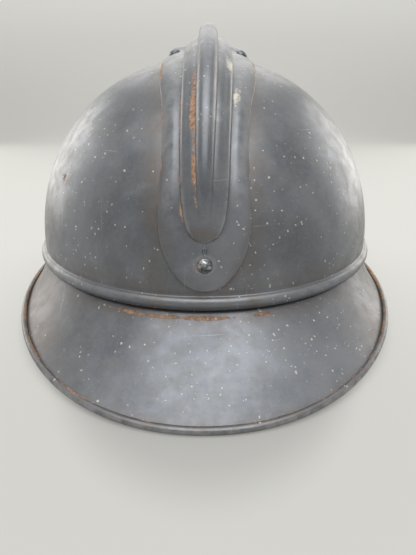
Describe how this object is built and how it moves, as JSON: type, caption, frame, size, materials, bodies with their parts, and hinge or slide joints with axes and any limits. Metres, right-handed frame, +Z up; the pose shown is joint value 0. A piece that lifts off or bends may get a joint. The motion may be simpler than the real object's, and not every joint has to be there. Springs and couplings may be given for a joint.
{
  "type": "crested steel helmet",
  "caption": "Oval pressed steel helmet with a bead, a brim with a rolled edge, a hollow crest along the top, a leather liner and a chin strap",
  "frame": {"origin": "on the table under the middle of the whole helmet, standing on its rim", "axes": "+Z up, the front of the helmet towards -Y, the wearer's left towards +X"},
  "size_m": [0.222, 0.294, 0.1534],
  "materials": {
    "painted_steel": "dark blue-grey satin paint, chipped, with rust at the edges",
    "rivet_steel": "worn painted steel, shiny at the crown of the head",
    "lug_steel": "dull steel",
    "ring_steel": "dull steel wire and sheet",
    "strap_leather": "brown harness leather, worn at the edges",
    "spacer_aluminium": "dull corrugated sheet",
    "wool_felt": "grey-blue wool felt",
    "liner_leather": "dark brown goatskin"
  },
  "bodies": {
    "shell": {"bowl": "painted_steel", "crest": "painted_steel", "front_visor": "painted_steel", "neck_guard": "painted_steel", "crest_rivet_front": "rivet_steel", "crest_rivet_rear": "rivet_steel", "crest_rivet_left": "rivet_steel", "crest_rivet_right": "rivet_steel", "left_lug_rivets": "rivet_steel", "right_lug_rivets": "rivet_steel", "left_strap_lug": "lug_steel", "right_strap_lug": "lug_steel", "liner_lug_1": "lug_steel", "liner_lug_2": "lug_steel", "liner_lug_3": "lug_steel", "liner_lug_4": "lug_steel", "chin_strap": "strap_leather", "spacer_front": "spacer_aluminium", "spacer_rear": "spacer_aluminium", "spacer_left": "spacer_aluminium", "spacer_right": "spacer_aluminium", "felt_band": "wool_felt", "sweatband": "liner_leather", "liner_tongue_1": "liner_leather", "liner_tongue_2": "liner_leather", "liner_tongue_3": "liner_leather", "liner_tongue_4": "liner_leather", "liner_tongue_5": "liner_leather", "liner_tongue_6": "liner_leather", "liner_tongue_7": "liner_leather"},
    "left_ring": {"left_strap_ring": "ring_steel"},
    "right_ring": {"right_strap_ring": "ring_steel"},
    "slide": {"strap_slide": "ring_steel"}
  },
  "joints": [
    {"name": "left_ring_swing", "type": "hinge", "parent": "shell", "child": "left_ring", "pos_m": [0.09624, 0.0066, 0.0231], "axis": [0, 1, 0], "range_deg": [-35, 60], "deforming": ["chin_strap"]},
    {"name": "right_ring_swing", "type": "hinge", "parent": "shell", "child": "right_ring", "pos_m": [-0.09624, 0.0066, 0.0231], "axis": [0, -1, 0], "range_deg": [-35, 60], "deforming": ["chin_strap"]},
    {"name": "strap_adjust", "type": "slide", "parent": "shell", "child": "slide", "axis": [-1, 0, 0], "range_m": [0, 0.065]}
  ]
}
